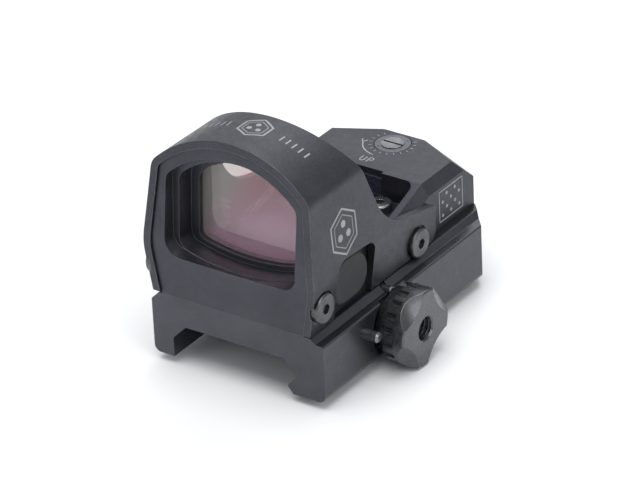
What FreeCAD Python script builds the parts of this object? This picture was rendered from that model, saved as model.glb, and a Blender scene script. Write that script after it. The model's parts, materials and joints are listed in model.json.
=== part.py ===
import FreeCAD, Part
import math
import os

from FreeCAD import Placement, Rotation, Vector

# Mini reflex (red dot) finder on a clamp for a 21.2 mm accessory rail. Millimetres.
# While a piece is made, X is to the right, Y runs back from the front face of the clamp and Z is the
# height above the top of the rail. export() then moves the origin onto the cross bolt's Y.

# Clamp base
LENGTH = 45.4
RAIL_HALF = 11.0            # half width of the rail channel
FLANK_Z = -2.37             # where the channel's 45 degree flanks meet
FOOT_Z = -5.5
MOUNT_TOP = 4.7
WALL_RIGHT = 15.8
WALL_LEFT = -14.5
LEDGE_Z = 3.75
HOOK_TIP = 9.12             # half width between the hook and the jaw

# Clamp screw, knob and jaw
BOLT_Y = 18.45
BOLT_Z = -0.77
BOLT_R = 1.95
JAW_FRONT = 8.0
JAW_REAR = 28.9
PIN_SPREAD = 8.25           # guide pins each side of the bolt
REAR_PIN_END = 6.0          # the rear guide pin stops inside the clamp
PIN_Z = 1.13
PIN_R = 0.82
KNOB_R = 6.0
KNOB_FACE = 21.0
DISC_BACK = 19.0
FLUTES_BACK = 17.3
COLLAR_BACK = 15.55
COLLAR_R = 5.0
RECESS_R = 5.75             # recess in the clamp's wall, round the knob's collar
RECESS_X = 15.0
THREAD_R = 1.7              # threaded end of the cross bolt
THREAD_PITCH = 0.7
SCOOPS = 4
FLUTES = 18
PLUNGER_Z = 3.95
FIT = 0.05                  # radial clearance of a running fit

# Hood
HOOD_T = 1.2
HOOD_Z = 4.95
HOOD_FRONT = -0.4
HOOD_REAR = 33.0
LEAN_Z = 14.45              # above this height the front leans back
LEAN = 0.13
ARCH_R = 19.0
ARCH_Z = 12.6               # height of the arch's centre
SHOULDER_R = 2.6

# Housing
WALL_X = 12.15
DECK_Z = 13.15
DECK_FRONT = 33.5
DECK_EDGE_X = 10.7
CHAMFER_DROP = 1.6
ARM_FRONT = 21.0
ARM_SLOPE = 0.34
FRAME_REAR = 10.5
POCKET_X = 9.7
POCKET_FLOOR = 8.75
SILL_Z = 11.36              # bottom of the window's front edge
WINDOW_HALF = 11.4
WINDOW_ARCH = 16.05
TROUGH_Z = 10.6             # lowest line of the curved floor in front of the lens
TROUGH_R = 32.0
STEP_Y = 2.2                # depth of the window's first step
FLANGE_Y = 5.2              # depth of the flange that the lens sits behind
FLANGE_T = 0.5
FLANGE_RISE = 0.8
LENS_LEAN = 0.08
LENS_T = 1.8

# Fasteners on the hood
SCREW_R = 1.25
SCREW_HEAD_R = 2.3
SCREW_FRONT = (2.1, 9.0)    # Y, Z
SCREW_REAR = (27.8, 6.95)

# Keys
KEY_Y = (6.1, 14.7)
KEY_Z = (6.2, 13.3)
KEY_R = 2.6
KEY_BACK = 11.75
KEY_FACE = 13.95
BOSS_X = 12.6

# Power and electronics
CELL_Y = 20.0
CELL_R = 8.0
CELL_T = 3.2
BAY_X = 7.6
BAY_FRONT = 35.2
BAY_REAR = 43.9
BAY_TOP = 11.75
DIAL_Y = 42.2
DIAL_R = 2.75
DIAL_HEAD_R = 1.75
ADJUST_R = 1.0              # adjustment screws are M2
WINDAGE_Y = 39.0
WINDAGE_Z = 8.6
BASE_SCREW = (5.1, 30.8)    # X, Y
LOCATING_PIN = (8.5, 3.6)   # X, Y


# ---------- outlines ----------

def rounded(points):
    """Corner points (a, b, radius) to a list of lines and arcs, given as 2D points."""
    n = len(points)
    marks = []
    for i, (a, b, r) in enumerate(points):
        pa, pb = points[i - 1], points[(i + 1) % n]
        u = Vector(pa[0] - a, pa[1] - b, 0).normalize()
        v = Vector(pb[0] - a, pb[1] - b, 0).normalize()
        here = Vector(a, b, 0)
        if r <= 0:
            marks.append((here, here, here))
            continue
        half = u.getAngle(v) / 2
        reach = r / math.tan(half)
        middle = (u + v).normalize() * (r / math.sin(half) - r)
        marks.append((here + u * reach, here + middle, here + v * reach))
    return marks


def wire_of(marks, place):
    """Join rounded() marks into a closed wire; place turns a 2D point into a 3D one."""
    edges = []
    for i, (start, middle, end) in enumerate(marks):
        if (end - start).Length > 1e-6:
            edges.append(Part.Arc(place(start), place(middle), place(end)).toShape())
        following = marks[(i + 1) % len(marks)][0]
        if (following - end).Length > 1e-6:
            edges.append(Part.makeLine(place(end), place(following)))
    return Part.Wire(edges)


def along_x(points, x0, x1):
    """Prism of a rounded (Y, Z) outline from x0 to x1."""
    wire = wire_of(rounded(points), lambda p: Vector(x0, p.x, p.y))
    return Part.Face(wire).extrude(Vector(x1 - x0, 0, 0))


def along_y(points, y0, y1):
    """Prism of a rounded (X, Z) outline from y0 to y1."""
    wire = wire_of(rounded(points), lambda p: Vector(p.x, y0, p.y))
    return Part.Face(wire).extrude(Vector(0, y1 - y0, 0))


def along_z(points, z0, z1):
    """Prism of a rounded (X, Y) outline from z0 to z1."""
    wire = wire_of(rounded(points), lambda p: Vector(p.x, p.y, z0))
    return Part.Face(wire).extrude(Vector(0, 0, z1 - z0))


def box(x0, x1, y0, y1, z0, z1):
    return Part.makeBox(x1 - x0, y1 - y0, z1 - z0, Vector(x0, y0, z0))


def rod_x(r, x0, x1, y, z):
    return Part.makeCylinder(r, x1 - x0, Vector(x0, y, z), Vector(1, 0, 0))


def rod_z(r, z0, z1, x, y):
    return Part.makeCylinder(r, z1 - z0, Vector(x, y, z0))


def tube_z(r_out, r_in, z0, z1, x, y):
    return rod_z(r_out, z0, z1, x, y).cut(rod_z(r_in, z0 - 1, z1 + 1, x, y))


def tube_x(r_out, r_in, x0, x1, y, z):
    return rod_x(r_out, x0, x1, y, z).cut(rod_x(r_in, x0 - 1, x1 + 1, y, z))


def beyond(point, normal, size=60.0):
    """A block that fills the side of a plane that its normal points to."""
    block = Part.makeBox(size, size, size, Vector(-size / 2, -size / 2, 0))
    block.Placement = Placement(point, Rotation(Vector(0, 0, 1), normal))
    return block


def mirrored(shape):
    """The same shape on the other side of the centre plane."""
    return shape.mirror(Vector(0, 0, 0), Vector(1, 0, 0))


def both_sides(shape):
    return [shape, mirrored(shape)]


def fuse_all(shapes):
    whole = shapes[0]
    for shape in shapes[1:]:
        whole = whole.fuse(shape)
    return whole.removeSplitter()


def cut_all(shape, tools):
    for tool in tools:
        shape = shape.cut(tool)
    return shape


def arch_wire(y, floor, side, arch_r, shoulder_r, bulge_r):
    """Closed (X, Z) outline at y: flat floor, sides through the (X, Z) points of side, arched top."""
    (x0, z0), (x1, z1) = side[-2], side[-1]
    run = Vector(x1 - x0, z1 - z0, 0).normalize()
    inward = Vector(-run.y, run.x, 0)
    hub = Vector(0, ARCH_Z, 0)
    base = Vector(x0, z0, 0) + inward * shoulder_r - hub
    along = math.sqrt(base.dot(run) ** 2 - base.dot(base) + (arch_r - shoulder_r) ** 2) - base.dot(run)
    centre = base + run * along
    out = Vector(centre).normalize()
    on_side = hub + centre - inward * shoulder_r
    between = hub + centre + (out - inward).normalize() * shoulder_r
    on_arch = hub + centre + out * shoulder_r
    foot = [(side[0][0], floor, 0)] + [(x, z, bulge_r) for x, z in side[1:-1]]
    corners = [(-x, z, r) for x, z, r in reversed(foot)] + foot + [(on_side.x, on_side.y, 0)]
    marks = rounded([(-on_side.x, on_side.y, 0)] + corners)[1:-1]

    def flip(p):
        return Vector(-p.x, p.y, 0)

    arch = (on_arch, hub + Vector(0, arch_r, 0), flip(on_arch))
    path = marks + [(on_side, between, on_arch), arch, (flip(on_arch), flip(between), flip(on_side))]
    return wire_of(path, lambda p: Vector(p.x, y, p.y))


def leaning(z, start=0.0):
    """Y of the front, which leans back above LEAN_Z."""
    return start + LEAN * max(0.0, z - LEAN_Z)


# ---------- hood ----------

def hood_loft(inset, y0=-2.0, y1=36.0):
    """Solid inside the hood's skin: inset 0 is its outer face, HOOD_T its inner face."""
    front = [(13.6, HOOD_Z), (15.1, 12.4), (13.75, 25.45)]
    rear = [(13.35, HOOD_Z), (13.55, 12.4), (13.35, 25.45)]

    def outline(y, side, arch_r):
        moved = [(x - inset, z) for x, z in side]
        return arch_wire(y, HOOD_Z - 1.0, moved, arch_r - inset, SHOULDER_R - inset, 10.0)

    return Part.makeLoft([outline(y0, front, ARCH_R), outline(y1, rear, ARCH_R - 0.6)], True, True)


def hood_side_view():
    """What is left of the hood, seen from the side."""
    top = 33.0
    lean_top = leaning(top, HOOD_FRONT)
    return along_x([
        (HOOD_FRONT, HOOD_Z, 0.3), (HOOD_FRONT, LEAN_Z, 6.0), (lean_top, top, 0.0),
        (11.3, top, 0.0), (19.35, 13.87, 10.0), (HOOD_REAR, 10.7, 0.6), (HOOD_REAR, HOOD_Z, 1.8),
    ], -20, 20)


def hood_surface_x(y, z):
    """Outer face of the hood's right side at (y, z), near the foot of the skin."""
    front = 13.6 + (15.1 - 13.6) * (z - HOOD_Z) / (12.4 - HOOD_Z)
    rear = 13.35 + (13.55 - 13.35) * (z - HOOD_Z) / (12.4 - HOOD_Z)
    return front + (rear - front) * (y + 2.0) / 38.0


def hood_shield():
    hood = hood_loft(0.0).cut(hood_loft(HOOD_T)).common(hood_side_view())
    key_gap = along_x([(5.9, 0, 0), (5.9, 14.2, 2.2), (16.2, 13.3, 1.8), (15.4, 0, 0)], 10, 20)
    tools = both_sides(key_gap)
    for y, z in (SCREW_FRONT, SCREW_REAR):
        face = hood_surface_x(y, z)
        tools += both_sides(rod_x(SCREW_R + 0.1, 10, 20, y, z))
        tools += both_sides(rod_x(SCREW_HEAD_R + 0.35, face - 0.3, 20, y, z))
    return cut_all(hood, tools)


def shield_screws():
    screws = []
    for y, z in (SCREW_FRONT, SCREW_REAR):
        seat = hood_surface_x(y, z) - 0.3
        head = rod_x(SCREW_HEAD_R, seat, seat + 1.15, y, z)
        head = head.makeFillet(0.35, [e for e in head.Edges if e.BoundBox.XMin > seat + 1.1])
        shank = rod_x(SCREW_R, 10.4, seat, y, z)
        socket = hex_x(1.5, seat + 0.4, seat + 2, y, z)
        screws += both_sides(fuse_all([head, shank]).cut(socket))
    return Part.makeCompound(screws)


def hex_x(flats, x0, x1, y, z):
    """Hexagonal prism along X, by its width across flats."""
    r = flats / math.sqrt(3)
    corners = [(y + r * math.cos(math.radians(60 * k)), z + r * math.sin(math.radians(60 * k)), 0)
               for k in range(6)]
    return along_x(corners, x0, x1)


# ---------- housing ----------

def corner_arc(half, centre_z, big_r, r, up):
    """Fillet of radius r between the side x = half and a circle of radius big_r on the centre plane."""
    z = centre_z + up * math.sqrt((big_r - r) ** 2 - (half - r) ** 2)
    centre = Vector(half - r, z, 0)
    on_side = Vector(half, z, 0)
    hub = Vector(0, centre_z, 0)
    on_arc = hub + (centre - hub) * (big_r / (big_r - r))
    middle = centre + ((on_side - centre) + (on_arc - centre)).normalize() * r
    return on_side, middle, on_arc


def window_wire(y, inset, floor, floor_r):
    """Outline of the window at depth y: arched floor, straight sides and arched top."""
    half = WINDOW_HALF - inset
    corner = max(1.2, 2.4 - 0.4 * inset)
    arch = WINDOW_ARCH - inset
    low = corner_arc(half, floor + floor_r, floor_r, corner, -1)
    high = corner_arc(half, ARCH_Z, arch, 2.2, 1)

    def place(p, side=1):
        return Vector(side * p.x, y + LENS_LEAN * (p.y - LEAN_Z), p.y)

    edges = []
    for side in (1, -1):
        for marks in (low, high):
            edges.append(Part.Arc(*[place(p, side) for p in marks]).toShape())
        edges.append(Part.makeLine(place(low[0], side), place(high[0], side)))
    for marks, apex in ((low, floor), (high, ARCH_Z + arch)):
        ends = place(marks[2]), place(marks[2], -1)
        edges.append(Part.Arc(ends[0], place(Vector(0, apex, 0)), ends[1]).toShape())
    return Part.Wire(Part.__sortEdges__(edges))


def window(y0, y1, inset, floor=TROUGH_Z, floor_r=TROUGH_R):
    """The space inside the window between two depths."""
    return Part.makeLoft([window_wire(y, inset, floor, floor_r) for y in (y0, y1)], True, True)


def window_mouth():
    """Front of the window: its straight sill falls back to the curved floor."""
    flat = 500.0
    mouth = window(-6.0, 0.3, 0.0, SILL_Z, flat)
    fall = Part.makeLoft([window_wire(0.3, 0.0, SILL_Z, flat),
                          window_wire(STEP_Y, 0.0, TROUGH_Z - 0.1, TROUGH_R)], True, True)
    return [mouth, fall]


def frame():
    """The block that holds the lens, under the hood."""
    top = 34.0
    side_view = along_x([
        (0, MOUNT_TOP, 0), (0, LEAN_Z, 6.0), (leaning(top), top, 0),
        (FRAME_REAR, top, 0), (FRAME_REAR, MOUNT_TOP, 0),
    ], -20, 20)
    return hood_loft(HOOD_T + FIT).common(side_view)


def body():
    """Base, side arms and rear block."""
    arm_drop = ARM_SLOPE * (DECK_FRONT - ARM_FRONT)
    side_view = [
        (0, MOUNT_TOP, 0), (0, POCKET_FLOOR, 0), (ARM_FRONT, POCKET_FLOOR, 0),
        (ARM_FRONT, DECK_Z - arm_drop, 0), (DECK_FRONT, DECK_Z, 0), (LENGTH, DECK_Z, 0),
        (LENGTH, MOUNT_TOP, 0),
    ]
    solid = along_x(side_view, -WALL_X, WALL_X)
    bevel = [(DECK_EDGE_X, DECK_Z), (WALL_X, DECK_Z - CHAMFER_DROP), (WALL_X + 1, DECK_Z - CHAMFER_DROP),
             (WALL_X + 1, DECK_Z + 1), (DECK_EDGE_X, DECK_Z + 1)]
    corner = Part.makePolygon([Vector(x, DECK_FRONT, z) for x, z in bevel + bevel[:1]])
    deck_bevel = Part.Face(corner).extrude(Vector(0, 20, 0))
    arm_bevel = Part.Face(corner).extrude(Vector(0, -15, -15 * ARM_SLOPE))
    oblique = beyond(Vector(DECK_EDGE_X + 0.2, 41.7, DECK_Z), Vector(0.51, 1, 1.16))
    tools = both_sides(deck_bevel) + both_sides(arm_bevel) + both_sides(oblique)
    return cut_all(solid, tools)


def boss():
    """Wall that carries a key, behind the hood's side opening."""
    return along_x([(4.6, MOUNT_TOP, 0), (4.6, 13.9, 1.0), (16.6, 13.9, 2.5), (17.5, MOUNT_TOP, 0)],
                   8.2, BOSS_X)


def key_outline(grow):
    y0, y1 = KEY_Y
    z0, z1 = KEY_Z
    return [(y0 - grow, z0 - grow, KEY_R), (y0 - grow, z1 + grow, KEY_R),
            (y1 + grow, z1 + grow, KEY_R + 1.0), (y1 + grow, z0 - grow, KEY_R + 0.6)]


def key_recess():
    return along_x(key_outline(0.15), BOSS_X - 1.4, 20)


def housing():
    solid = fuse_all([frame(), body()] + both_sides(boss()))
    right = [(8.2, FRAME_REAR, 0), (8.2, 13.0, 0), (POCKET_X, 14.2, 0), (POCKET_X, DECK_FRONT, 1.6)]
    left = [(-x, y, r) for x, y, r in reversed(right)]
    tools = [along_z(left + right, POCKET_FLOOR, 40)]
    tools += window_mouth()
    tools += [window(STEP_Y - 0.1, FLANGE_Y, 1.1),
              window(FLANGE_Y - 0.5, FLANGE_Y + 1, 2.5, TROUGH_Z + FLANGE_RISE),
              window(FLANGE_Y + FLANGE_T, 13.0, 1.5, TROUGH_Z + 0.1)]
    tools += [box(-3.8, 3.8, DECK_FRONT - 1, DECK_FRONT + 0.6, 9.3, 20)]
    tools += [box(-3.2, 3.2, DECK_FRONT, BAY_FRONT + 1, 9.3, 12.2 - 0.6)]
    tools += [box(-BAY_X, BAY_X, BAY_FRONT, BAY_REAR, 0, BAY_TOP)]
    tools += [box(-BAY_X - 1, BAY_X + 1, BAY_FRONT - 0.8, BAY_REAR + 0.4, 0, MOUNT_TOP + 0.7)]
    tools += [rod_z(CELL_R + 0.2, 0, MOUNT_TOP + CELL_T + 0.25, 0, CELL_Y)]
    tools += both_sides(key_recess())
    tools += both_sides(box(8.7, 12, 8.2, 12.3, 7.2, 11.2))
    tools += [rod_z(DIAL_R + 0.1, DECK_Z - 0.75, 20, 0, DIAL_Y), rod_z(ADJUST_R + FIT, 5, 20, 0, DIAL_Y)]
    tools += [rod_x(DIAL_R + 0.1, -20, -WALL_X + 0.75, WINDAGE_Y, WINDAGE_Z),
              rod_x(ADJUST_R + FIT, -20, -BAY_X + 1, WINDAGE_Y, WINDAGE_Z)]
    for side in (-1, 1):
        x, y = side * BASE_SCREW[0], BASE_SCREW[1]
        tools += [rod_z(1.3, 0, 20, x, y)]
        tools += [rod_z(1.0, 0, MOUNT_TOP + 2.0, side * LOCATING_PIN[0], LOCATING_PIN[1])]
    for y, z in (SCREW_FRONT, SCREW_REAR):
        tools += both_sides(rod_x(SCREW_R, 10.4, 20, y, z))
    return cut_all(solid, tools)


def lens():
    y0 = FLANGE_Y + FLANGE_T + 0.3
    return window(y0, y0 + LENS_T, 1.6, TROUGH_Z + 0.2)


def lens_ring(y0, y1):
    """Ring as large as the lens, open where the light passes."""
    ring = window(y0, y1, 1.6, TROUGH_Z + 0.2)
    return ring.cut(window(y0 - 1, y1 + 1, 2.5, TROUGH_Z + FLANGE_RISE + 0.1))


def lens_gasket():
    y0 = FLANGE_Y + FLANGE_T
    return lens_ring(y0, y0 + 0.3)


def lens_retainer():
    y0 = FLANGE_Y + FLANGE_T + 0.3 + LENS_T
    return lens_ring(y0, y0 + 1.0)


def emitter_window():
    return box(-3.7, 3.7, DECK_FRONT + 0.05, DECK_FRONT + 0.6, 9.3, 12.1)


# ---------- keys and switches ----------

def key():
    """Rubber key of the right side: cap with a rounded rim and a raised centre."""
    cap = along_x(key_outline(0.0), KEY_BACK, KEY_FACE)
    rim = [e for e in cap.Edges if e.BoundBox.XMin > KEY_FACE - 0.01]
    cap = cap.makeFillet(0.7, rim)
    y, z = sum(KEY_Y) / 2, sum(KEY_Z) / 2
    dish = Part.makeSphere(30.0, Vector(KEY_FACE + 29.75, y, z))
    return cap.cut(dish)


def switch():
    y, z = 10.25, 9.2
    return fuse_all([box(8.8, 10.7, y - 1.9, y + 1.9, z - 1.9, z + 1.9), rod_x(0.9, 10.7, 11.2, y, z)])


# ---------- power and electronics ----------

def battery():
    can = rod_z(CELL_R, MOUNT_TOP + 0.15, MOUNT_TOP + 0.15 + CELL_T, 0, CELL_Y)
    return can.makeFillet(0.3, [e for e in can.Edges if len(e.Vertexes) == 1])


def base_gasket():
    """Rubber ring that seals the cell against the clamp."""
    y = CELL_Y
    return tube_z(8.9, 8.25, MOUNT_TOP - 0.5, MOUNT_TOP, 0, y)


def bottom_plate():
    x, y0, y1 = BAY_X + 0.95, BAY_FRONT - 0.75, BAY_REAR + 0.35
    corners = [(-x, y0, 0.5), (x, y0, 0.5), (x, y1, 0.5), (-x, y1, 0.5)]
    return along_z(corners, MOUNT_TOP + 0.05, MOUNT_TOP + 0.65)


def circuit_board():
    board = box(-7.4, 7.4, BAY_FRONT + 0.2, BAY_REAR - 0.2, MOUNT_TOP + 0.75, MOUNT_TOP + 1.35)
    chip = box(3.9, 7.0, 36.6, 39.6, MOUNT_TOP + 1.35, MOUNT_TOP + 2.2)
    part = box(-7.0, -5.2, 41.3, 43.0, MOUNT_TOP + 1.35, MOUNT_TOP + 1.9)
    return fuse_all([board, chip, part])


def emitter_lift():
    """Nut block on the elevation screw, with a shelf for the emitter block."""
    nut = box(-3.2, 3.2, 40.6, 43.7, 7.0, 10.2)
    shelf = box(-3.2, 3.2, 37.3, 40.6, 7.0, 7.75)
    return fuse_all([nut, shelf]).cut(rod_z(ADJUST_R + FIT, 5, 12, 0, DIAL_Y))


def emitter_block():
    """Block with a vertical T slot for the windage nut."""
    block = box(-2.3, 2.3, 37.4, 40.5, 7.8, 10.9)
    slot = box(-1.95, -1.15, 37.85, 40.15, 7.0, 12.0)
    mouth = box(-2.5, -1.5, 38.45, 39.55, 7.0, 12.0)
    return cut_all(block, [slot, mouth])


def led_emitter():
    return fuse_all([box(-1.4, 1.4, 36.9, 37.4, 8.6, 10.6),
                     Part.makeCylinder(0.5, 0.4, Vector(0, 36.5, 9.7), Vector(0, 1, 0))])


def windage_nut():
    nut = box(-6.8, -4.2, WINDAGE_Y - 1.5, WINDAGE_Y + 1.5, WINDAGE_Z - 1.3, WINDAGE_Z + 1.3)
    neck = box(-4.2, -1.85, WINDAGE_Y - 0.45, WINDAGE_Y + 0.45, WINDAGE_Z - 0.35, WINDAGE_Z + 0.8)
    flange = box(-1.85, -1.25, WINDAGE_Y - 1.05, WINDAGE_Y + 1.05, WINDAGE_Z - 0.35, WINDAGE_Z + 0.8)
    return fuse_all([nut, neck, flange]).cut(rod_x(ADJUST_R + FIT, -8, -4.6, WINDAGE_Y, WINDAGE_Z))


# ---------- adjustment screws ----------

def slotted_screw(length):
    """Screw that points down from Z = 0, with a slotted head in a dial."""
    head = rod_z(DIAL_HEAD_R, -0.65, 0.12, 0, 0)
    shank = rod_z(ADJUST_R, -length, -0.65, 0, 0)
    slot = box(-DIAL_HEAD_R, DIAL_HEAD_R, -0.19, 0.19, -0.35, 1)
    return fuse_all([head, shank]).cut(slot)


def dial_ring():
    ring = tube_z(DIAL_R, DIAL_HEAD_R, -0.65, 0.0, 0, 0)
    marks = [rod_z(0.16, -0.12, 1, 2.25 * math.cos(a), 2.25 * math.sin(a))
             for a in (math.radians(50), math.radians(230))]
    return cut_all(ring, marks)


def clip_ring():
    """Retaining clip on the screw, inside the wall."""
    ring = tube_z(1.7, ADJUST_R, -0.4, 0, 0, 0)
    return ring.cut(box(-0.5, 0.5, -3, 0, -1, 1))


def on_deck(shape, z=DECK_Z):
    return shape.translated(Vector(0, DIAL_Y, z))


def on_left_wall(shape, x=-WALL_X):
    """Turn a shape that points down so that it points in from the left wall."""
    turned = shape.copy()
    turned.Placement = Placement(Vector(x, WINDAGE_Y, WINDAGE_Z), Rotation(Vector(0, 1, 0), -90))
    return turned


# ---------- clamp ----------

def channel_section():
    """Rail channel: 45 degree flanks, a hook at the right, a plain wall at the left."""
    ceiling = RAIL_HALF + FLANK_Z
    return [
        (-ceiling, 0, 0.2), (ceiling, 0, 0.2), (RAIL_HALF, FLANK_Z, 0.25),
        (HOOK_TIP, FLANK_Z - RAIL_HALF + HOOK_TIP, 0.5), (HOOK_TIP + 1.0, FOOT_Z, 0.4),
        (HOOK_TIP + 1.0, FOOT_Z - 2, 0), (-RAIL_HALF + 0.2, FOOT_Z - 2, 0), (-RAIL_HALF, FOOT_Z + 0.3, 0),
        (-RAIL_HALF, FLANK_Z, 0.25),
    ]


def rail_mount_body():
    section = [
        (-13.1, MOUNT_TOP, 0.3), (13.4, MOUNT_TOP, 0.4), (14.4, LEDGE_Z + 0.15, 0.2),
        (WALL_RIGHT, LEDGE_Z, 0.3), (WALL_RIGHT, FOOT_Z, 1.4), (0, FOOT_Z, 0), (WALL_LEFT, FOOT_Z, 1.1),
        (WALL_LEFT, 3.3, 0.3),
    ]
    solid = along_y(section, 0, LENGTH)
    leg = JAW_REAR - JAW_FRONT
    tools = [along_y(channel_section(), -1, LENGTH + 1)]
    tools += [along_y([(-20, 3.0, 0), (-9.85, 3.0, 0), (-9.85, -9, 0), (-20, -9, 0)],
                      JAW_FRONT - 0.2, JAW_FRONT + leg + 0.2)]
    tools += [rod_x(BOLT_R + 0.15, -20, 20, BOLT_Y, BOLT_Z)]
    tools += [rod_x(PIN_R + FIT, -20, 20, BOLT_Y - PIN_SPREAD, PIN_Z),
              rod_x(PIN_R + FIT, -20, REAR_PIN_END + 2.4, BOLT_Y + PIN_SPREAD, PIN_Z)]
    tools += [rod_x(RECESS_R, RECESS_X, 20, BOLT_Y, BOLT_Z)]
    tools += [Part.makeCone(RECESS_R, RECESS_R + 0.5, 0.5, Vector(WALL_RIGHT - 0.25, BOLT_Y, BOLT_Z), Vector(1, 0, 0))]
    tools += [rod_x(0.7, 9.2, 20, BOLT_Y, PLUNGER_Z), box(13.2, 20, BOLT_Y - 0.7, BOLT_Y + 0.7, PLUNGER_Z, 9)]
    tools += rear_corner_cuts()
    for side in (-1, 1):
        tools += [rod_z(0.98, 1.0, 20, side * BASE_SCREW[0], BASE_SCREW[1])]
        tools += [rod_z(1.0, MOUNT_TOP - 2.5, 20, side * LOCATING_PIN[0], LOCATING_PIN[1])]
    tools += [tube_z(9.0, 8.15, MOUNT_TOP - 0.5, 20, 0, CELL_Y)]
    return cut_all(solid, tools)


def rear_corner_cuts():
    cut = beyond(Vector(WALL_RIGHT, 41.6, 0), Vector(1, 0.92, 0))
    left = beyond(Vector(WALL_LEFT, 42.8, 0), Vector(-1, 0.92, 0))
    return [cut, left]


def clamp_jaw():
    section = [
        (WALL_LEFT, 2.8, 0.3), (-10.0, 2.8, 0), (-10.0, FLANK_Z + 1.0, 0), (-RAIL_HALF, FLANK_Z, 0.2),
        (-HOOK_TIP, FLANK_Z - RAIL_HALF + HOOK_TIP, 0.5), (-HOOK_TIP - 1.0, FOOT_Z, 0.4),
        (WALL_LEFT, FOOT_Z, 1.1),
    ]
    tools = [rod_x(BOLT_R, -20, 0, BOLT_Y, BOLT_Z), rod_x(3.6, -20, -12.6, BOLT_Y, BOLT_Z)]
    tools += [rod_x(PIN_R, -20, 0, BOLT_Y + side * PIN_SPREAD, PIN_Z) for side in (-1, 1)]
    return cut_all(along_y(section, JAW_FRONT, JAW_REAR), tools)


def cross_bolt():
    head = rod_x(3.5, WALL_LEFT, -12.6, BOLT_Y, BOLT_Z)
    head = head.makeFillet(0.3, [e for e in head.Edges if e.BoundBox.XMax < WALL_LEFT + 0.1])
    socket = hex_x(2.5, WALL_LEFT - 1, WALL_LEFT + 1.1, BOLT_Y, BOLT_Z)
    end = DISC_BACK - 0.3
    shank = rod_x(BOLT_R, -12.6, COLLAR_BACK - 0.1, BOLT_Y, BOLT_Z)
    thread = rod_x(THREAD_R, COLLAR_BACK - 0.1, end, BOLT_Y, BOLT_Z)
    thread = thread.makeChamfer(0.3, [e for e in thread.Edges if e.BoundBox.XMin > end - 0.1])
    return fuse_all([head, shank, thread]).cut(socket)


def jaw_guide_pins():
    pins = []
    for side, end in ((-1, 18.5), (1, REAR_PIN_END)):
        pin = rod_x(PIN_R, WALL_LEFT + 0.6, end, BOLT_Y + side * PIN_SPREAD, PIN_Z)
        pins.append(pin.makeChamfer(0.25, [e for e in pin.Edges if e.BoundBox.XMin > end - 0.1]))
    return Part.makeCompound(pins)


def around_bolt(r, degrees):
    """Y and Z of a point at radius r round the bolt's axis."""
    a = math.radians(degrees)
    return BOLT_Y + r * math.cos(a), BOLT_Z + r * math.sin(a)


def clamp_knob():
    """Knob with a smooth collar, a fluted ring and a disc with deep scoops in its face."""
    disc = rod_x(KNOB_R, DISC_BACK, KNOB_FACE, BOLT_Y, BOLT_Z)
    disc = disc.makeFillet(0.3, [e for e in disc.Edges if e.BoundBox.XMin > KNOB_FACE - 0.1])
    scoops = []
    for k in range(SCOOPS):
        y, z = around_bolt(11.0, 35 + k * 360 / SCOOPS)
        scoops.append(Part.makeSphere(9.7, Vector(KNOB_FACE + 6.8, y, z)))
    disc = cut_all(disc, scoops)
    ring = rod_x(KNOB_R, FLUTES_BACK, DISC_BACK, BOLT_Y, BOLT_Z)
    flutes = []
    for k in range(FLUTES):
        y, z = around_bolt(KNOB_R + 0.15, 4 + k * 360 / FLUTES)
        flutes.append(rod_x(0.62, FLUTES_BACK - 1, DISC_BACK, y, z))
    ring = cut_all(ring, flutes)
    collar = rod_x(COLLAR_R, COLLAR_BACK, FLUTES_BACK, BOLT_Y, BOLT_Z)
    knob = fuse_all([disc, ring, collar])
    tools = [rod_x(THREAD_R + FIT, 10, 30, BOLT_Y, BOLT_Z),
             Part.makeCone(THREAD_R, THREAD_R + 0.6, 0.6, Vector(KNOB_FACE - 0.3, BOLT_Y, BOLT_Z), Vector(1, 0, 0))]
    for k in range(3):
        x = DISC_BACK - 0.1 + k * THREAD_PITCH
        tools.append(rod_x(THREAD_R + 0.35, x, x + THREAD_PITCH / 2, BOLT_Y, BOLT_Z))
    return cut_all(knob, tools)


def knob_washer():
    return tube_x(3.9, BOLT_R + 0.15, RECESS_X, COLLAR_BACK - 0.1, BOLT_Y, BOLT_Z)


def detent_plunger():
    end = COLLAR_BACK - 0.15
    pin = rod_x(0.65, 12.4, end, BOLT_Y, PLUNGER_Z)
    return pin.makeFillet(0.3, [e for e in pin.Edges if e.BoundBox.XMin > end - 0.1])


def detent_spring():
    turns = Part.makeHelix(0.62, 2.6, 0.45)
    turns.Placement = Placement(Vector(9.45, BOLT_Y, PLUNGER_Z), Rotation(Vector(0, 1, 0), 90))
    start = turns.Edges[0]
    first = start.valueAt(start.FirstParameter)
    along = start.tangentAt(start.FirstParameter)
    section = Part.Wire(Part.Edge(Part.Circle(first, along, 0.11)))
    return Part.Wire(turns.Edges).makePipeShell([section], True, True)


def base_screws():
    screws = []
    for side in (-1, 1):
        x, y = side * BASE_SCREW[0], BASE_SCREW[1]
        head = rod_z(1.9, POCKET_FLOOR, POCKET_FLOOR + 1.3, x, y)
        head = head.makeFillet(0.4, [e for e in head.Edges if e.BoundBox.ZMin > POCKET_FLOOR + 1.2])
        shank = rod_z(0.98, 1.2, POCKET_FLOOR, x, y)
        socket = hex_x(1.3, 0, 1.2, 0, 0)
        socket.Placement = Placement(Vector(x, y, POCKET_FLOOR + 0.4), Rotation(Vector(0, 1, 0), -90))
        screws.append(fuse_all([head, shank]).cut(socket))
    return Part.makeCompound(screws)


def locating_pins():
    x, y = LOCATING_PIN
    return Part.makeCompound([rod_z(0.99, MOUNT_TOP - 2.4, MOUNT_TOP + 1.9, side * x, y) for side in (-1, 1)])


# ---------- export ----------

def export(node, shape):
    moved = shape.translated(Vector(0, -BOLT_Y, 0))
    moved.exportStep("parts/%s.step" % node)
    solids = len(moved.Solids)
    print("%-20s solids %d valid %s volume %.1f" % (node, solids, moved.isValid(), moved.Volume))


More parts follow.
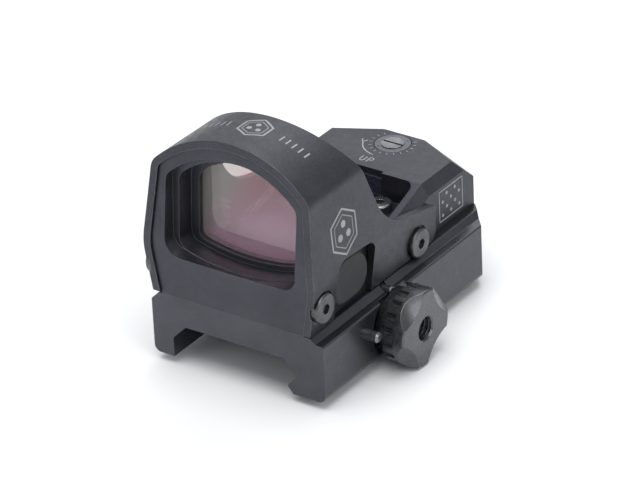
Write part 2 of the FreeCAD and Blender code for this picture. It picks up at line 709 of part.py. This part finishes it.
def main():
    os.makedirs("parts", exist_ok=True)
    export("rail_mount_body", rail_mount_body())
    export("clamp_jaw", clamp_jaw())
    export("cross_bolt", cross_bolt())
    export("jaw_guide_pins", jaw_guide_pins())
    export("clamp_knob", clamp_knob())
    export("knob_washer", knob_washer())
    export("detent_plunger", detent_plunger())
    export("detent_spring", detent_spring())
    export("base_screws", base_screws())
    export("locating_pins", locating_pins())
    export("housing", housing())
    export("hood_shield", hood_shield())
    export("shield_screws", shield_screws())
    export("lens", lens())
    export("lens_gasket", lens_gasket())
    export("lens_retainer", lens_retainer())
    export("emitter_window", emitter_window())
    export("right_key", key())
    export("left_key", mirrored(key()))
    export("right_switch", switch())
    export("left_switch", mirrored(switch()))
    export("battery", battery())
    export("base_gasket", base_gasket())
    export("bottom_plate", bottom_plate())
    export("circuit_board", circuit_board())
    export("emitter_lift", emitter_lift())
    export("emitter_block", emitter_block())
    export("led_emitter", led_emitter())
    export("windage_nut", windage_nut())
    export("elevation_screw", on_deck(slotted_screw(6.6)))
    export("elevation_dial", on_deck(dial_ring()))
    export("elevation_clip", on_deck(clip_ring(), BAY_TOP))
    export("windage_screw", on_left_wall(slotted_screw(7.0)))
    export("windage_dial", on_left_wall(dial_ring()))
    export("windage_clip", on_left_wall(clip_ring(), -BAY_X))


main()
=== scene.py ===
import json
import math

import bmesh
import bpy
from mathutils import Matrix, Vector
from mathutils.bvhtree import BVHTree


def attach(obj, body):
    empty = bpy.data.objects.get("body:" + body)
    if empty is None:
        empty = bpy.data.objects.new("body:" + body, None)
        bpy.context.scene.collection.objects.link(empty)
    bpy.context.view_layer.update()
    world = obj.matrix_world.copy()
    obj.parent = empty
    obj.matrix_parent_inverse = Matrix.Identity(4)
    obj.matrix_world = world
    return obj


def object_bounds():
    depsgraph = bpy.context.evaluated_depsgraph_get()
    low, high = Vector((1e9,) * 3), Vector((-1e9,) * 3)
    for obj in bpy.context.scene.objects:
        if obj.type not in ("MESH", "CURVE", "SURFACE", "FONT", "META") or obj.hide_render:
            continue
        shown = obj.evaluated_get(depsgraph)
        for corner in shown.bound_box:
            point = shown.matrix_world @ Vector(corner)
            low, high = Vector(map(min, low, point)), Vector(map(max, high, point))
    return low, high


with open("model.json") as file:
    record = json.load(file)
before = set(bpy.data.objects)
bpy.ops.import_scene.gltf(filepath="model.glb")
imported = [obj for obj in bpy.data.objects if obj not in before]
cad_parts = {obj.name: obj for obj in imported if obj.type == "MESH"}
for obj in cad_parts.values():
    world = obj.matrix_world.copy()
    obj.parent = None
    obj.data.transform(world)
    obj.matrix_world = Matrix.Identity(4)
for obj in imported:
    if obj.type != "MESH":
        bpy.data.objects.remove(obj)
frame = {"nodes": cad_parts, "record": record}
CAD_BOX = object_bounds()

MM = 0.001

# Row frame: X to the knob side, Y back along the rail, Z up; the origin is on the rail's top over
# the cross bolt.
FRONT_Y = -18.45            # the clamp's front face, in millimetres
X, Y, Z = Vector((1, 0, 0)), Vector((0, 1, 0)), Vector((0, 0, 1))


def mm(x, y, z):
    """A point given in millimetres, with y measured back from the clamp's front face."""
    return Vector((x * MM, (y + FRONT_Y) * MM, z * MM))


# ---------------------------------------------------------------- materials

BEVEL_SAMPLES = 6
MIX_FACTOR, MIX_A, MIX_B, MIX_RESULT = 0, 6, 7, 2       # a Mix node's sockets for colours
SHARP_FACING, FLAT_FACING = 0.75, 0.99  # bevel normal along the surface normal, on edges and faces


class Graph:
    """A material's node graph, with its shader and a link helper."""

    def __init__(self, name):
        self.material = bpy.data.materials.new(name)
        self.material.use_nodes = True
        self.tree = self.material.node_tree
        self.shader = self.tree.nodes["Principled BSDF"]

    def feed(self, socket, value):
        """Link a socket to another, or set its own value."""
        if isinstance(value, bpy.types.NodeSocket):
            self.tree.links.new(value, socket)
        else:
            socket.default_value = value

    def add(self, kind, inputs=None, **settings):
        node = self.tree.nodes.new(kind)
        for key, value in settings.items():
            setattr(node, key, value)
        for key, value in (inputs or {}).items():
            self.feed(node.inputs[key], value)
        return node

    def constant(self, name, value):
        self.shader.inputs[name].default_value = value

    def link(self, socket, name):
        self.tree.links.new(socket, self.shader.inputs[name])

    def coordinates(self, scale=(1, 1, 1)):
        place = self.add("ShaderNodeTexCoord").outputs["Object"]
        return self.add("ShaderNodeMapping", {"Vector": place, "Scale": scale}).outputs["Vector"]

    def noise(self, size_mm, detail=3.0, rough=0.55, stretch=(1, 1, 1)):
        """Noise with features of about the given size."""
        node = self.add("ShaderNodeTexNoise", {
            "Vector": self.coordinates(stretch), "Scale": 1 / (size_mm * MM),
            "Detail": detail, "Roughness": rough})
        return node.outputs["Fac"]

    def spread(self, value, low, high, from_low=0.3, from_high=0.7):
        node = self.add("ShaderNodeMapRange", {
            "Value": value, "From Min": from_low, "From Max": from_high,
            "To Min": low, "To Max": high})
        return node.outputs["Result"]

    def times(self, a, b):
        return self.add("ShaderNodeMath", {0: a, 1: b}, operation="MULTIPLY").outputs[0]

    def vector(self, operation, a, b):
        """A single number made from two vectors."""
        return self.add("ShaderNodeVectorMath", {0: a, 1: b}, operation=operation).outputs["Value"]

    def mix(self, factor, a, b):
        node = self.add("ShaderNodeMix", data_type="RGBA")
        for key, value in ((MIX_FACTOR, factor), (MIX_A, a), (MIX_B, b)):
            self.feed(node.inputs[key], value)
        return node.outputs[MIX_RESULT]

    def bevel(self, radius_mm):
        node = self.add("ShaderNodeBevel", {"Radius": radius_mm * MM}, samples=BEVEL_SAMPLES)
        return node.outputs["Normal"]

    def edges(self, radius_mm):
        """0 on flat faces, towards 1 where the surface turns within the radius."""
        bevel = self.bevel(radius_mm)
        normal = self.add("ShaderNodeNewGeometry").outputs["Normal"]
        facing = self.vector("DOT_PRODUCT", bevel, normal)
        return self.spread(facing, 1.0, 0.0, SHARP_FACING, FLAT_FACING)

    def relief(self, height, depth_mm, strength=1.0, bevel_mm=0.12):
        """Fine bump over slightly rounded edges."""
        bump = self.add("ShaderNodeBump", {
            "Strength": strength, "Distance": depth_mm * MM, "Height": height,
            "Normal": self.bevel(bevel_mm)})
        self.link(bump.outputs["Normal"], "Normal")


def rgba(r, g, b):
    return (r, g, b, 1.0)


def grey(value):
    return rgba(value, value, value)


def cloudy(g, size_mm, low, high, detail=3.0, rough=0.55):
    """Two tones that drift into each other over the given size."""
    return g.mix(g.spread(g.noise(size_mm, detail, rough), 0.0, 1.0), rgba(*low), rgba(*high))


def anodised(name, dark, light, pale_wear_and_highlight, rough=(0.38, 0.5), edge_wear_and_highlight=0.55, metallic=0.85, grit=0.5):
    """Bead-blasted, black anodised aluminium: fine grain, cloudy tone and paler edges; the paler
    edges are partly wear and partly painted highlight.
    """
    cloud_mm, blast_mm, wear_mm, sheen_mm, edge_mm, depth_mm = 6.0, 0.09, 1.6, 1.1, 0.16, 0.012
    g = Graph(name)
    tone = cloudy(g, cloud_mm, dark, light, 4.0, 0.6)
    grain = g.noise(blast_mm, 2.0, 0.6)
    speck = g.mix(g.spread(grain, 0.0, 0.28, 0.45, 0.75), tone, rgba(*pale_wear_and_highlight))
    # Edges are mixed towards the pale colour: partly wear, partly a painted highlight where light
    # catches the edges.
    wear_and_highlight_patches = g.spread(g.noise(wear_mm, 4.0, 0.65), 0.15, edge_wear_and_highlight, 0.35, 0.65)
    rubbed_and_highlit_edges = g.times(g.edges(edge_mm), wear_and_highlight_patches)
    g.link(g.mix(rubbed_and_highlit_edges, speck, rgba(*pale_wear_and_highlight)), "Base Color")
    g.link(g.spread(g.noise(sheen_mm), *rough), "Roughness")
    g.constant("Metallic", metallic)
    g.relief(grain, depth_mm, grit)
    return g.material


def steel(name, dark, light, rough=(0.28, 0.42)):
    """Turned steel with fine machining marks and brighter edges, painted partly as wear and partly
    as highlight.
    """
    line_mm, cloud_mm, edge_mm, depth_mm, bevel_mm = 0.05, 1.5, 0.1, 0.004, 0.08
    highlight_and_wear_gain = 1.9
    g = Graph(name)
    lines = g.noise(line_mm, 2.0, 0.5, (0.2, 1, 1))
    cloud = g.noise(cloud_mm)
    tone = g.mix(g.spread(cloud, 0.0, 1.0), rgba(*dark), rgba(*light))
    # Edges painted brighter: partly wear, partly a painted highlight.
    rubbed_and_highlit_edges = g.times(g.edges(edge_mm), g.spread(cloud, 0.5, 1.0))
    highlight_and_wear_colour = rgba(*[min(1, highlight_and_wear_gain * c) for c in light])
    g.link(g.mix(rubbed_and_highlit_edges, tone, highlight_and_wear_colour), "Base Color")
    g.link(g.spread(lines, *rough), "Roughness")
    g.constant("Metallic", 0.9)
    g.relief(lines, depth_mm, 0.5, bevel_mm)
    return g.material


def rubber(name, dark, light, rough=(0.6, 0.78)):
    """Moulded silicone rubber: faint mould grain and a dusty bloom."""
    grain_mm, bloom_mm, depth_mm, bevel_mm = 0.07, 2.4, 0.01, 0.2
    g = Graph(name)
    grain = g.noise(grain_mm, 2.0, 0.6)
    g.link(cloudy(g, bloom_mm, dark, light, 4.0, 0.65), "Base Color")
    g.link(g.spread(grain, *rough), "Roughness")
    g.relief(grain, depth_mm, 0.5, bevel_mm)
    return g.material


def glass(name, tint_a, tint_b, index, rough, clear):
    """Clear glass with a faint uneven tint."""
    tint_mm, haze_mm = 7.0, 1.2
    g = Graph(name)
    g.link(cloudy(g, tint_mm, tint_a, tint_b, 2.0, 0.5), "Base Color")
    g.link(g.spread(g.noise(haze_mm, 2.0), *rough), "Roughness")
    g.constant("IOR", index)
    g.constant("Transmission Weight", clear)
    return g.material


# Brightness of the painted reflection arcs at each share of the distance REFLECTION_ARC_REACH from
# their centre.
REFLECTION_ARC_STOPS = ((0.4, 0.12), (0.43, 0.42), (0.47, 0.0), (0.66, 0.08), (0.69, 0.55), (0.73, 0.03))
REFLECTION_ARC_X, REFLECTION_ARC_Z, REFLECTION_ARC_REACH = 4.5, 14.5, 10.0
CORNER_SLOPE = (-0.8, 0.0, 0.5)         # towards the lens's upper left corner
CORNER_START, CORNER_END = 11.0, 14.8   # along that slope
ROSE_LOW, ROSE_HIGH = 15.0, 23.0        # heights between which the rose deepens


def coated_lens(name):
    """Lens with a rose coating, grey green at its upper left corner, and faint rings of painted
    reflection.
    """
    haze_mm = 1.2
    g = Graph(name)
    place = g.coordinates()
    axes = g.add("ShaderNodeSeparateXYZ", {"Vector": place}).outputs
    slope = g.vector("DOT_PRODUCT", place, CORNER_SLOPE)
    corner = g.spread(slope, 0.0, 1.0, CORNER_START * MM, CORNER_END * MM)
    height = g.spread(axes["Z"], 0.0, 1.0, ROSE_LOW * MM, ROSE_HIGH * MM)
    rose = g.mix(height, rgba(0.86, 0.55, 0.68), rgba(0.82, 0.43, 0.5))
    tone = g.mix(corner, rose, rgba(0.72, 0.66, 0.63))
    centre = g.add("ShaderNodeCombineXYZ", {"X": REFLECTION_ARC_X * MM, "Y": 0.0, "Z": REFLECTION_ARC_Z * MM})
    flat_place = g.add("ShaderNodeCombineXYZ", {"X": axes["X"], "Y": 0.0, "Z": axes["Z"]})
    reach = g.vector("DISTANCE", flat_place.outputs["Vector"], centre.outputs["Vector"])
    share = g.spread(reach, 0.0, 1.0, 0.0, REFLECTION_ARC_REACH * MM)
    reflection_arcs = g.add("ShaderNodeValToRGB", {"Fac": share})
    stops = reflection_arcs.color_ramp.elements
    stops[0].position, stops[0].color = 0.0, grey(0.12)
    stops[1].position, stops[1].color = 1.0, grey(0.0)
    for position, value in REFLECTION_ARC_STOPS:
        stops.new(position).color = grey(value)
    # The pale rings mixed in here are painted reflections of the window's inside.
    g.link(g.mix(reflection_arcs.outputs["Color"], tone, rgba(0.95, 0.72, 0.82)), "Base Color")
    g.link(g.spread(g.noise(haze_mm, 2.0), 0.01, 0.04), "Roughness")
    g.constant("IOR", 1.6)
    g.constant("Transmission Weight", 0.76)
    return g.material


def board(name):
    """Solder mask with copper tracks under it."""
    tracks_per_metre, sheen_mm, depth_mm = 900.0, 0.8, 0.02
    g = Graph(name)
    tracks = g.add("ShaderNodeTexBrick", {
        "Vector": g.coordinates(), "Scale": tracks_per_metre, "Color1": rgba(0.02, 0.16, 0.07),
        "Color2": rgba(0.03, 0.22, 0.1), "Mortar": rgba(0.06, 0.3, 0.14), "Mortar Size": 0.03})
    g.link(tracks.outputs["Color"], "Base Color")
    g.link(g.spread(g.noise(sheen_mm), 0.25, 0.4), "Roughness")
    g.relief(tracks.outputs["Fac"], depth_mm, 0.4)
    return g.material


def plain(name, colour):
    """Matt board, almost even in tone."""
    drift_mm, darker = 60.0, 0.97
    g = Graph(name)
    g.link(cloudy(g, drift_mm, colour, [darker * c for c in colour]), "Base Color")
    g.constant("Roughness", 0.85)
    return g.material


# Finish of each material slot: its maker and what that maker takes.
FINISHES = {
    # The pale third colour and the edge strength paint bright edge lines: partly wear, partly
    # painted highlight, strongest on the knob's rim and the hood's lip.
    "clamp_black": (anodised, (0.06, 0.061, 0.072), (0.078, 0.079, 0.092), (0.2, 0.2, 0.22),
                    (0.26, 0.36)),
    "housing_black": (anodised, (0.052, 0.053, 0.064), (0.066, 0.068, 0.08), (0.2, 0.2, 0.22)),
    "hood_black": (anodised, (0.044, 0.045, 0.054), (0.056, 0.058, 0.069), (0.3, 0.3, 0.32),
                   (0.34, 0.46), 0.75),
    "knob_black": (anodised, (0.085, 0.086, 0.094), (0.12, 0.122, 0.13), (0.4, 0.4, 0.42),
                   (0.24, 0.34), 0.7, 0.95, 0.15),
    "steel_dark": (steel, (0.14, 0.14, 0.15), (0.26, 0.26, 0.27), (0.18, 0.32)),
    "screw_grey": (steel, (0.09, 0.09, 0.096), (0.15, 0.15, 0.157)),
    "dial_grey": (anodised, (0.1, 0.102, 0.112), (0.13, 0.133, 0.145), (0.36, 0.36, 0.38),
                  (0.26, 0.4), 0.55, 0.95),
    "lens_glass": (coated_lens,),
    "emitter_glass": (glass, (0.2, 0.24, 0.4), (0.26, 0.3, 0.46), 1.6, (0.02, 0.06), 0.9),
    "seal_rubber": (rubber, (0.014, 0.014, 0.014), (0.024, 0.024, 0.025)),
    "key_rubber": (rubber, (0.024, 0.024, 0.026), (0.034, 0.034, 0.037)),
    "switch_black": (rubber, (0.03, 0.03, 0.031), (0.045, 0.045, 0.046), (0.4, 0.55)),
    "cell_steel": (steel, (0.5, 0.5, 0.49), (0.62, 0.62, 0.6), (0.2, 0.32)),
    "plate_aluminium": (anodised, (0.2, 0.2, 0.21), (0.28, 0.28, 0.29), (0.5, 0.5, 0.5)),
    "board_green": (board,),
    "carriage_brass": (steel, (0.5, 0.36, 0.15), (0.62, 0.46, 0.2), (0.25, 0.4)),
    "led_red": (rubber, (0.16, 0.008, 0.008), (0.22, 0.014, 0.012), (0.12, 0.2)),
    "etched": (anodised, (0.27, 0.27, 0.28), (0.36, 0.36, 0.37), (0.45, 0.45, 0.45),
               (0.6, 0.8), 0.1, 0.0),
}
MATERIALS = {name: make(name, *values) for name, (make, *values) in FINISHES.items()}

for part in frame["record"]["subparts"]:
    node = frame["nodes"].get(part["node"])
    if node:
        node.data.materials.clear()
        node.data.materials.append(MATERIALS[part["material_slot"]])


# ---------------------------------------------------------------- etched marks
# Every mark is drawn in millimetres on a plane, then laid on a CAD node.

LIFT = 0.012                # etched marks stand this far out of the metal
SINK = -0.05                # and reach this far into it
STEP = 0.22                 # spacing of the points along a mark
CAST_FROM, CAST_REACH = 4, 12   # the rays start this far over the plane, and are this long
TICK_LINE, THIN_LINE, MARK_LINE, BOLD_LINE = 0.13, 0.18, 0.2, 0.22     # widths of the marks


class Surface:
    """A plane over a CAD node: marks drawn on it are laid on the node along the plane's normal."""

    def __init__(self, node, centre, across, up):
        self.centre = centre
        self.across = across
        self.up = up
        self.normal = across.cross(up)
        mesh = frame["nodes"][node].data
        corners = [v.co.copy() for v in mesh.vertices]
        self.tree = BVHTree.FromPolygons(corners, [tuple(p.vertices) for p in mesh.polygons])

    def lay(self, u, v, lift_mm):
        spot = self.centre + (self.across * u + self.up * v) * MM
        start = spot + self.normal * CAST_FROM * MM
        hit, normal, _, _ = self.tree.ray_cast(start, -self.normal, CAST_REACH * MM)
        if hit is None:
            raise ValueError(f"a mark misses its surface at {u:.2f}, {v:.2f}")
        if normal.dot(self.normal) < 0:
            normal = -normal
        return hit + normal * lift_mm * MM


def on_circle(x, y, r, degrees):
    t = math.radians(degrees)
    return x + r * math.cos(t), y + r * math.sin(t)


def arc(x, y, r, start, end, count=24):
    return [on_circle(x, y, r, start + (end - start) * i / count) for i in range(count + 1)]


def polygon(x, y, r, sides, turn=0.0):
    return [on_circle(x, y, r, turn + 360 * k / sides) for k in range(sides)]


def resampled(points, closed):
    path = list(points) + ([points[0]] if closed else [])
    out = []
    for (ax, ay), (bx, by) in zip(path, path[1:]):
        count = max(1, math.ceil(math.dist((ax, ay), (bx, by)) / STEP))
        shares = [i / count for i in range(count)]
        out += [(ax + (bx - ax) * t, ay + (by - ay) * t) for t in shares]
    return out if closed else out + [path[-1]]


def stroke(mesh, surface, points, width, closed=False):
    """A closed strip of constant width along a line."""
    line = resampled(points, closed)
    n = len(line)
    rings = []
    for i, (x, y) in enumerate(line):
        before = line[i - 1] if closed or i else line[0]
        after = line[(i + 1) % n] if closed or i < n - 1 else line[-1]
        dx, dy = after[0] - before[0], after[1] - before[1]
        size = math.hypot(dx, dy) or 1.0
        nx, ny = -dy / size * width / 2, dx / size * width / 2
        sides = [(x + nx, y + ny, LIFT), (x - nx, y - ny, LIFT),
                 (x - nx, y - ny, SINK), (x + nx, y + ny, SINK)]
        rings.append([mesh.verts.new(surface.lay(*s)) for s in sides])
    for i in range(n if closed else n - 1):
        a, b = rings[i], rings[(i + 1) % n]
        for k in range(4):
            mesh.faces.new((a[k], a[(k + 1) % 4], b[(k + 1) % 4], b[k]))
    if not closed:
        mesh.faces.new(rings[0][::-1])
        mesh.faces.new(rings[-1])


def dot(mesh, surface, x, y, r, sides=14):
    """A small filled disc or polygon."""
    spots = polygon(x, y, r, sides)
    top = [mesh.verts.new(surface.lay(u, v, LIFT)) for u, v in spots]
    low = [mesh.verts.new(surface.lay(u, v, SINK)) for u, v in spots]
    mesh.faces.new(top)
    mesh.faces.new(low[::-1])
    for k in range(sides):
        mesh.faces.new((top[k], low[k], low[(k + 1) % sides], top[(k + 1) % sides]))


def finish_mark(name, mesh):
    bmesh.ops.recalc_face_normals(mesh, faces=mesh.faces)
    data = bpy.data.meshes.new(name)
    mesh.to_mesh(data)
    mesh.free()
    data.materials.append(MATERIALS["etched"])
    piece = bpy.data.objects.new(name, data)
    bpy.context.scene.collection.objects.link(piece)
    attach(piece, "sight")


def badge(name, surface, r):
    """A plain hexagon badge with three dots."""
    outline, inner, inner_line, ring, spot = 0.3, 0.74, 0.14, 0.34, 0.16
    mesh = bmesh.new()
    stroke(mesh, surface, polygon(0, 0, r, 6, 30), outline, True)
    stroke(mesh, surface, polygon(0, 0, r * inner, 6, 30), inner_line, True)
    for x, y in polygon(0, 0, r * ring, 3, 90):
        dot(mesh, surface, x, y, r * spot)
    finish_mark(name, mesh)


def scale_ring(name, surface, count, inner, outer, shown):
    """Radial ticks round a dial, at the angles whose sine passes the test."""
    mesh = bmesh.new()
    for k in range(count):
        turn = 360 / count * k
        if shown(math.sin(math.radians(turn))):
            ends = [on_circle(0, 0, inner, turn), on_circle(0, 0, outer, turn)]
            stroke(mesh, surface, ends, TICK_LINE)
    finish_mark(name, mesh)


hood_top = Surface("hood_shield", mm(0, 8.0, 31), X, Y)
hood_side = Surface("hood_shield", mm(14, 8.6, 18.2), Y, Z)
deck = Surface("housing", mm(0, 42.2, 16), X, Y)            # round the elevation dial
left_wall = Surface("housing", mm(-14, 39.0, 8.6), -Y, Z)   # round the windage dial
right_wall = Surface("housing", mm(14, 39.2, 8.35), Y, Z)

badge("badge_side", hood_side, 3.6)
badge("badge_top", hood_top, 2.6)

FIRST_TICK, TICK_PITCH, TICK_HALF, TICKS = 4.6, 1.05, 0.7, 5
ticks = bmesh.new()
for side in (-1, 1):
    for k in range(TICKS):
        u = side * (FIRST_TICK + TICK_PITCH * k)
        stroke(ticks, hood_top, [(u, -TICK_HALF), (u, TICK_HALF)], BOLD_LINE)
finish_mark("hood_ticks", ticks)

scale_ring("dial_ticks", deck, 20, 3.15, 3.65, lambda sine: sine < 0.7)

arrow = bmesh.new()
stroke(arrow, deck, arc(0, 0, 4.5, 200, 262), BOLD_LINE)
stroke(arrow, deck, [(-3.75, -1.0), (-4.3, -1.75), (-4.75, -0.95)], MARK_LINE)
finish_mark("dial_arrow", arrow)

LETTER_U = [(-1.6, -5.4), (-1.6, -6.4), (-1.4, -6.75), (-1.1, -6.75), (-0.9, -6.4), (-0.9, -5.4)]
LETTER_P = [(-0.3, -6.8), (-0.3, -5.4), (0.15, -5.4), (0.4, -5.65), (0.4, -5.9), (0.15, -6.15),
            (-0.25, -6.15)]
letters = bmesh.new()
for letter in (LETTER_U, LETTER_P):
    stroke(letters, deck, letter, MARK_LINE)
finish_mark("dial_letters", letters)

scale_ring("windage_ticks", left_wall, 24, 3.0, 3.45, lambda sine: sine > -0.9)

LABEL_HALF_WIDTH, LABEL_HALF_HEIGHT = 3.1, 2.5
GRID_PITCH, GRID_LEFT, GRID_LOW, GRID_DOT = 1.1, -2.2, -1.65, 0.34
label = bmesh.new()
frame_line = [(-LABEL_HALF_WIDTH, -LABEL_HALF_HEIGHT), (LABEL_HALF_WIDTH, -LABEL_HALF_HEIGHT),
              (LABEL_HALF_WIDTH, LABEL_HALF_HEIGHT), (-LABEL_HALF_WIDTH, LABEL_HALF_HEIGHT)]
stroke(label, right_wall, frame_line, THIN_LINE, True)
for row in range(4):
    for k in range(5):
        if (row + k) % 2 == 0:
            dot(label, right_wall, GRID_LEFT + GRID_PITCH * k, GRID_LOW + GRID_PITCH * row,
                GRID_DOT, 4)
finish_mark("label_side", label)

# ---------------------------------------------------------------- stage, light and camera

AIM = Vector((3.18, -0.45, 9.185)) * MM     # what the camera and the lamps point at
FLOOR_HALF = 2.5                            # metres
FLOOR_GAP = 0.00005                         # keeps the floor clear of the clamp's feet
FLOOR_TONE = (0.9, 0.9, 0.9)

floor_mesh = bmesh.new()
bmesh.ops.create_grid(floor_mesh, x_segments=4, y_segments=4, size=FLOOR_HALF)
floor_data = bpy.data.meshes.new("floor")
floor_mesh.to_mesh(floor_data)
floor_mesh.free()
floor_data.materials.append(plain("floor_white", FLOOR_TONE))
floor = bpy.data.objects.new("floor", floor_data)
floor.location.z = CAD_BOX[0][2] - FLOOR_GAP
bpy.context.scene.collection.objects.link(floor)

# Name, azimuth (0 in front, growing to the right), elevation, distance, size and power.
SOFTBOXES = (
    ("top_light", 0, 82, 0.9, 0.8, 6.6),
    ("right_light", 75, 30, 0.8, 0.5, 1.6),
    ("left_back_light", -145, 32, 0.9, 0.6, 0.95),
    ("back_light", -169, 45, 0.9, 0.5, 0.9),
    ("front_light", -25, 25, 1.0, 0.5, 0.8),
)
for name, azimuth, elevation, distance, size, watts in SOFTBOXES:
    a, e = math.radians(azimuth), math.radians(elevation)
    away = Vector((math.sin(a) * math.cos(e), -math.cos(a) * math.cos(e), math.sin(e)))
    data = bpy.data.lights.new(name, "AREA")
    data.shape = "SQUARE"
    data.size = size
    data.energy = watts
    lamp = bpy.data.objects.new(name, data)
    lamp.location = AIM + away * distance
    lamp.rotation_euler = away.to_track_quat("Z", "Y").to_euler()
    bpy.context.scene.collection.objects.link(lamp)

WORLD_TINT, WORLD_STRENGTH = rgba(0.9, 0.94, 1.0), 0.46
world = bpy.data.worlds.new("studio")
world.use_nodes = True
background = world.node_tree.nodes["Background"].inputs
background["Color"].default_value = WORLD_TINT
background["Strength"].default_value = WORLD_STRENGTH
bpy.context.scene.world = world
bpy.context.scene.view_settings.view_transform = "Standard"

CAMERA_TURN = math.radians(35.69)
CAMERA_TILT = math.radians(29.095)
CAMERA_ROLL = math.radians(-2.722)
CAMERA_DISTANCE = 0.6498
CAMERA_LENS, CAMERA_SENSOR = 250.99, 36.0   # millimetres
CAMERA_CLIP = (0.01, 20.0)

flat = Vector((math.cos(CAMERA_TURN), math.sin(CAMERA_TURN), 0))
ahead = Vector((-math.sin(CAMERA_TURN) * math.cos(CAMERA_TILT),
                math.cos(CAMERA_TURN) * math.cos(CAMERA_TILT), -math.sin(CAMERA_TILT)))
upright = flat.cross(ahead)
right = flat * math.cos(CAMERA_ROLL) + upright * math.sin(CAMERA_ROLL)
above = upright * math.cos(CAMERA_ROLL) - flat * math.sin(CAMERA_ROLL)
eye = AIM - ahead * CAMERA_DISTANCE
camera_data = bpy.data.cameras.new("camera")
camera_data.lens = CAMERA_LENS
camera_data.sensor_width = CAMERA_SENSOR
camera_data.clip_start, camera_data.clip_end = CAMERA_CLIP
camera = bpy.data.objects.new("camera", camera_data)
camera.matrix_world = Matrix((
    (right.x, above.x, -ahead.x, eye.x),
    (right.y, above.y, -ahead.y, eye.y),
    (right.z, above.z, -ahead.z, eye.z),
    (0, 0, 0, 1),
))
bpy.context.scene.collection.objects.link(camera)
bpy.context.scene.camera = camera
